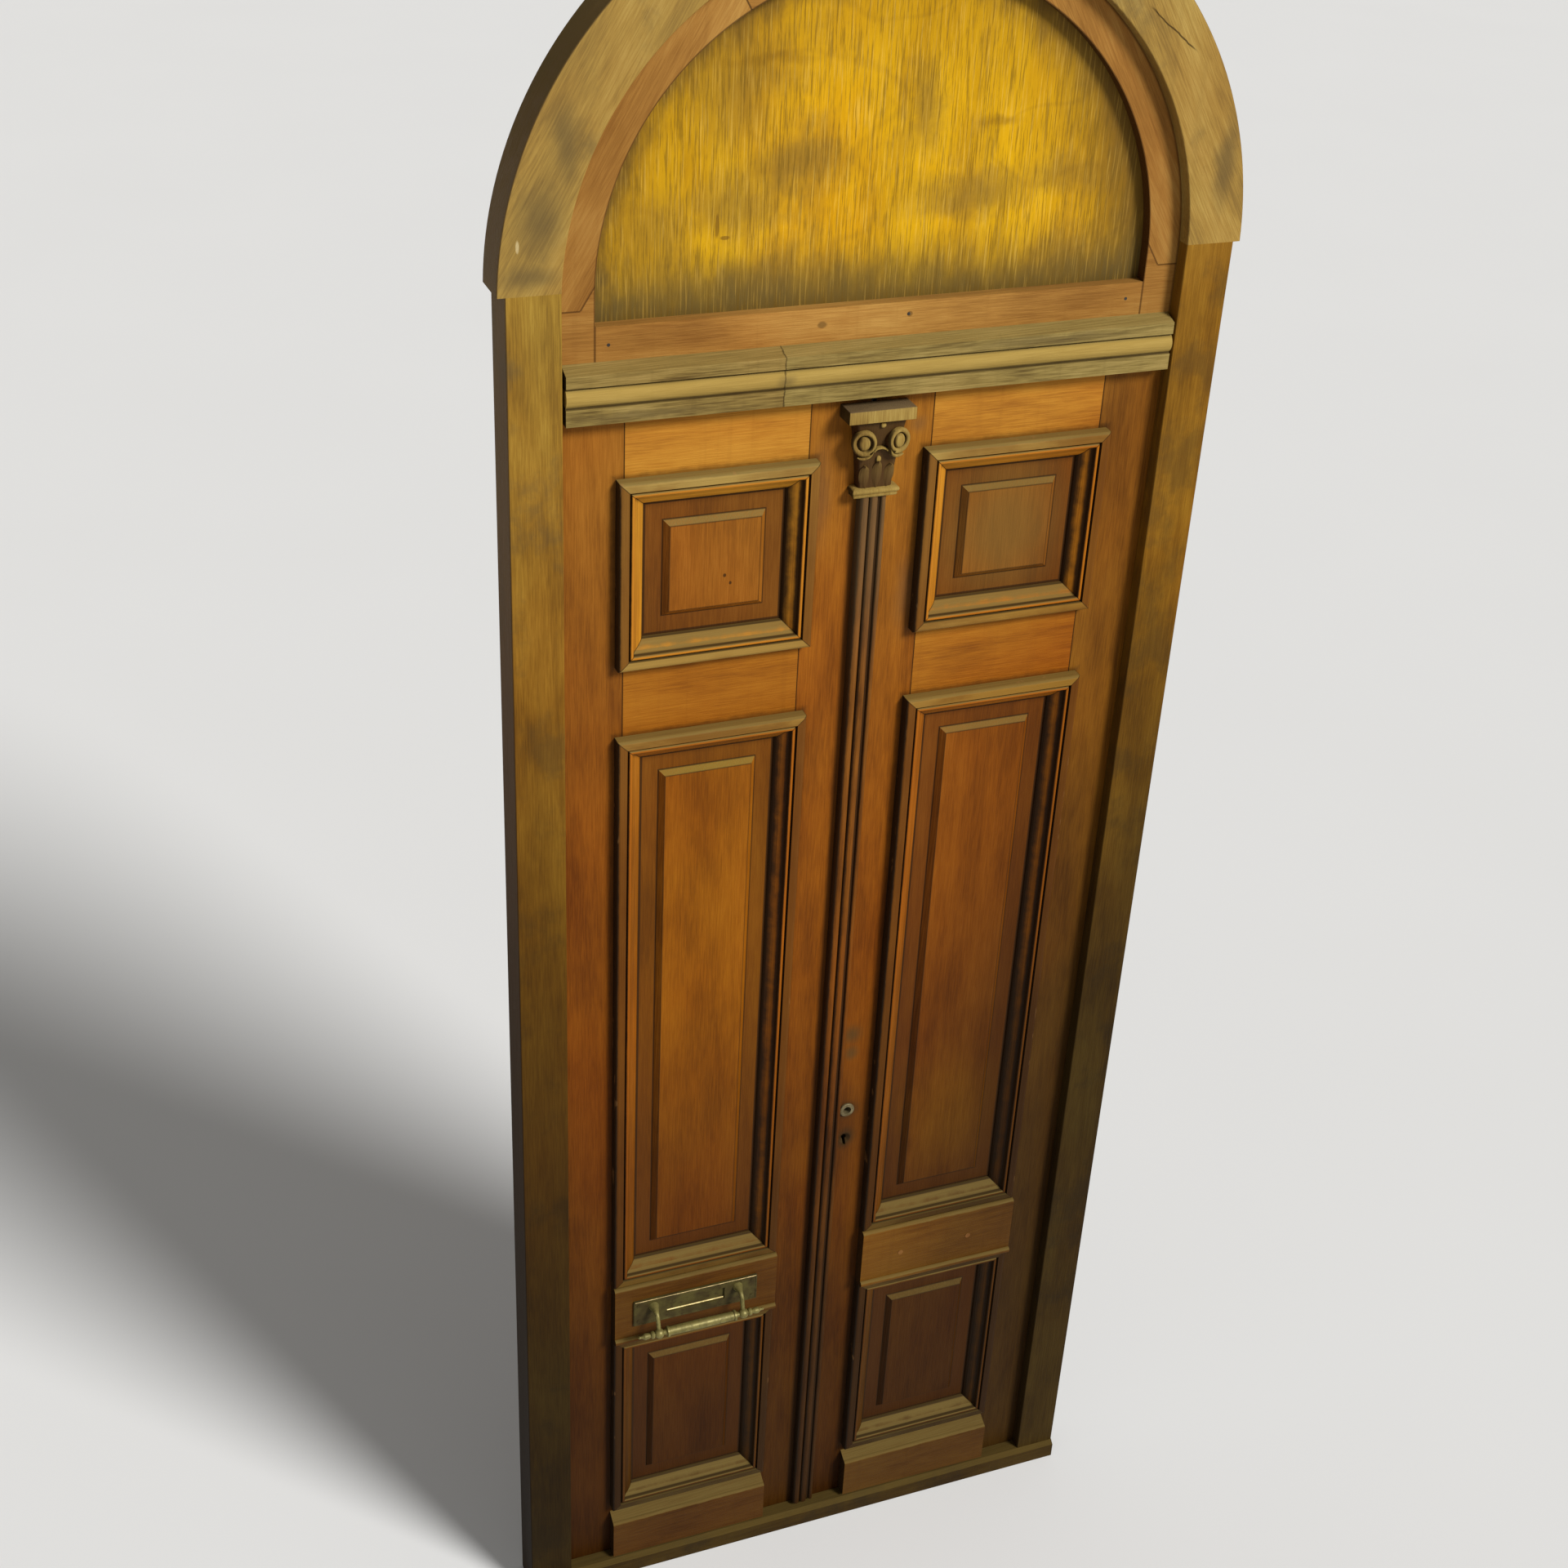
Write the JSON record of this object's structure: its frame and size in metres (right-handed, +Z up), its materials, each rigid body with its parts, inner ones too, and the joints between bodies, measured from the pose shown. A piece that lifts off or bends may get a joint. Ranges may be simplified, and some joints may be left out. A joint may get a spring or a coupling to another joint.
{
  "type": "arched double door",
  "caption": "Arched double entrance door in a timber frame, with a round fanlight board, moulded cornice, raised panels in bold mouldings, carved capital and letter plate.",
  "frame": {"origin": "middle of the threshold's underside: half way between the jambs and half way through the frame", "axes": "+Z up, +X to the right seen from outside, -Y towards the outside and the viewer"},
  "size_m": [1.2734, 0.1512, 3.5119],
  "materials": {
    "frame_timber": "old timber gone olive-brown, worn and unpolished",
    "cornice_timber": "weathered silver-grey to straw yellow",
    "sash_timber": "reddish-brown timber, worn satin",
    "board_timber": "golden ochre with fine upright grain, satin",
    "leaf_timber": "orange-brown oiled timber, darker to the foot",
    "panel_timber": "orange-brown oiled timber, darker to the foot",
    "moulding_timber": "brown timber, greyed where it faces up",
    "apron_timber": "brown timber, greyed where it faces up",
    "carved_timber": "carved timber, weathered on its ledges",
    "hinge_iron": "black iron, dull",
    "lock_steel": "dull steel, lightly rusted",
    "letter_brass": "old brass gone dark brown, worn bright on its edges",
    "collar_brass": "yellow brass, tarnished round its rim"
  },
  "bodies": {
    "root": {"threshold": "frame_timber", "jamb_left": "frame_timber", "jamb_right": "frame_timber", "arch_head_left": "frame_timber", "arch_head_crown": "frame_timber", "arch_head_right": "frame_timber", "transom_bar": "frame_timber", "cornice_left": "cornice_timber", "cornice_right": "cornice_timber", "fanlight_rail": "sash_timber", "fanlight_arch_left": "sash_timber", "fanlight_arch_crown": "sash_timber", "fanlight_arch_right": "sash_timber", "fanlight_panel": "board_timber", "fanlight_beads": "sash_timber", "jamb_hinge_halves": "hinge_iron"},
    "right_leaf": {"right_hinge_stile": "leaf_timber", "right_top_rail": "leaf_timber", "right_frieze_rail": "leaf_timber", "right_middle_rail": "leaf_timber", "right_bottom_rail": "leaf_timber", "right_top_panel": "panel_timber", "right_tall_panel": "panel_timber", "right_bottom_panel": "panel_timber", "right_top_moulding": "moulding_timber", "right_tall_moulding": "moulding_timber", "right_bottom_moulding": "moulding_timber", "right_apron_board": "apron_timber", "right_kick_board": "apron_timber", "right_hinge_halves": "hinge_iron", "right_meeting_stile": "leaf_timber", "lock_case": "lock_steel", "key_collar": "collar_brass"},
    "left_leaf": {"left_hinge_stile": "leaf_timber", "left_top_rail": "leaf_timber", "left_frieze_rail": "leaf_timber", "left_middle_rail": "leaf_timber", "left_bottom_rail": "leaf_timber", "left_top_panel": "panel_timber", "left_tall_panel": "panel_timber", "left_bottom_panel": "panel_timber", "left_top_moulding": "moulding_timber", "left_tall_moulding": "moulding_timber", "left_bottom_moulding": "moulding_timber", "left_apron_board": "apron_timber", "left_kick_board": "apron_timber", "left_hinge_halves": "hinge_iron", "left_meeting_stile": "leaf_timber", "cover_strip": "carved_timber", "capital": "carved_timber", "strike_plate": "lock_steel", "flush_bolt_plates": "lock_steel", "letter_plate": "letter_brass", "pull_stems": "letter_brass", "pull_bar": "letter_brass"},
    "letter_flap": {"letter_flap": "letter_brass"},
    "deadbolt": {"deadbolt": "lock_steel"},
    "top_bolt": {"top_bolt": "lock_steel"},
    "bottom_bolt": {"bottom_bolt": "lock_steel"}
  },
  "joints": [
    {"name": "right_leaf_hinge", "type": "hinge", "parent": "root", "child": "right_leaf", "pos_m": [0.5465, 0.049, 1.45], "axis": [0, 0, -1], "range_deg": [0, 100]},
    {"name": "left_leaf_hinge", "type": "hinge", "parent": "root", "child": "left_leaf", "pos_m": [-0.5465, 0.049, 1.45], "axis": [0, 0, 1], "range_deg": [0, 76]},
    {"name": "letter_flap_hinge", "type": "hinge", "parent": "left_leaf", "child": "letter_flap", "pos_m": [-0.272, -0.0391, 0.784], "axis": [1, 0, 0], "range_deg": [0, 70], "stiffness_Nm_per_rad": 0.04, "springref_deg": -28.65},
    {"name": "deadbolt_slide", "type": "slide", "parent": "right_leaf", "child": "deadbolt", "axis": [-1, 0, 0], "range_m": [0, 0.02]},
    {"name": "top_bolt_slide", "type": "slide", "parent": "left_leaf", "child": "top_bolt", "axis": [0, 0, 1], "range_m": [0, 0.022]},
    {"name": "bottom_bolt_slide", "type": "slide", "parent": "left_leaf", "child": "bottom_bolt", "axis": [0, 0, -1], "range_m": [0, 0.022]}
  ],
  "couplings": [
    {"joint": "left_leaf_hinge", "follows": "right_leaf_hinge", "ratio": 0.75}
  ]
}
